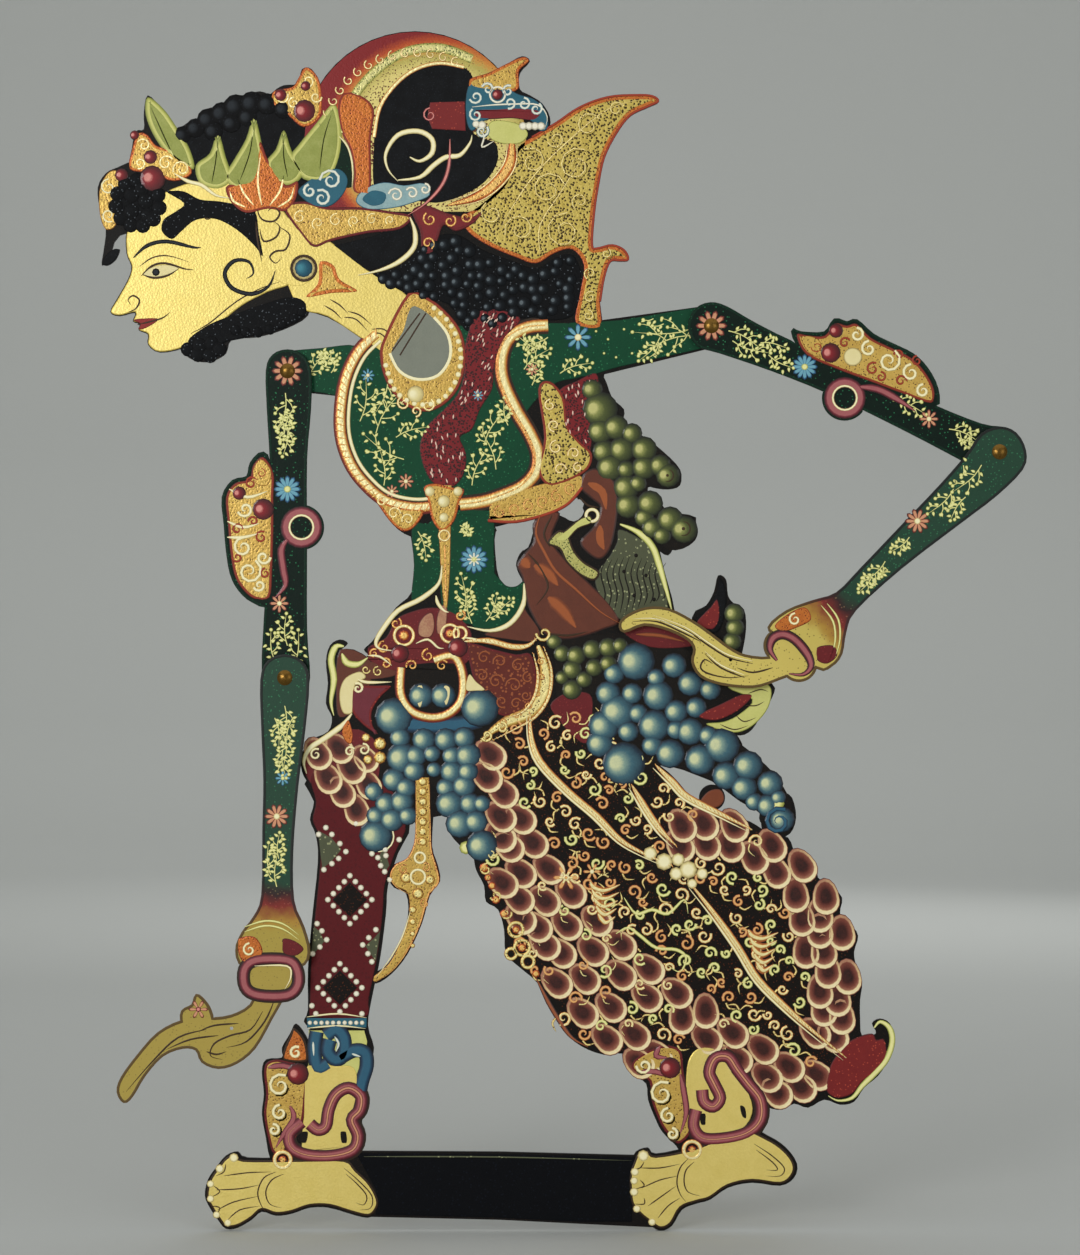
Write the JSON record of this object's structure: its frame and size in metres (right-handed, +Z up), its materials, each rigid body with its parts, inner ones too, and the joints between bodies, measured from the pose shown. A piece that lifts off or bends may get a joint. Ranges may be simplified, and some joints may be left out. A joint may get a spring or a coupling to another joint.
{
  "type": "wayang shadow puppet",
  "caption": "Flat cut-hide shadow puppet knight in profile, with painted and pierced ornament and jointed arms on domed rivets.",
  "frame": {"origin": "foot of the base strip, in the middle of the hide's thickness, on the centre rod's line", "axes": "+Z up the figure, +Y out of its back, +X to the right as its painted front is seen"},
  "size_m": [0.463, 0.0104, 0.5995],
  "materials": {
    "painted_hide": "gold leaf and paint",
    "arm_hide": "paint and gold leaf",
    "rivet": "dulled",
    "washer": "raw hide"
  },
  "bodies": {
    "figure": {"body_hide": "painted_hide", "front_shoulder_rivet": "rivet", "rear_shoulder_rivet": "rivet", "front_shoulder_washer": "washer", "rear_shoulder_washer": "washer", "front_shoulder_spacer": "washer", "rear_shoulder_spacer": "washer"},
    "front_upper": {"front_upper_arm": "arm_hide", "front_elbow_rivet": "rivet", "front_elbow_washer": "washer", "front_elbow_spacer": "washer"},
    "front_lower": {"front_forearm": "arm_hide"},
    "rear_upper": {"rear_upper_arm": "arm_hide", "rear_elbow_rivet": "rivet", "rear_elbow_washer": "washer"},
    "rear_lower": {"rear_forearm": "arm_hide"}
  },
  "joints": [
    {"name": "front_shoulder", "type": "hinge", "parent": "figure", "child": "front_upper", "pos_m": [-0.106, -0.003, 0.429], "axis": [0, 1, 0], "range_deg": [-45, 150]},
    {"name": "front_elbow", "type": "hinge", "parent": "front_upper", "child": "front_lower", "pos_m": [-0.107, -0.0066, 0.276], "axis": [0, 1, 0], "range_deg": [-45, 150]},
    {"name": "rear_shoulder", "type": "hinge", "parent": "figure", "child": "rear_upper", "pos_m": [0.1055, -0.003, 0.4515], "axis": [0, -1, 0], "range_deg": [-65, 100]},
    {"name": "rear_elbow", "type": "hinge", "parent": "rear_upper", "child": "rear_lower", "pos_m": [0.249, -0.0048, 0.3885], "axis": [0, -1, 0], "range_deg": [-30, 110]}
  ]
}
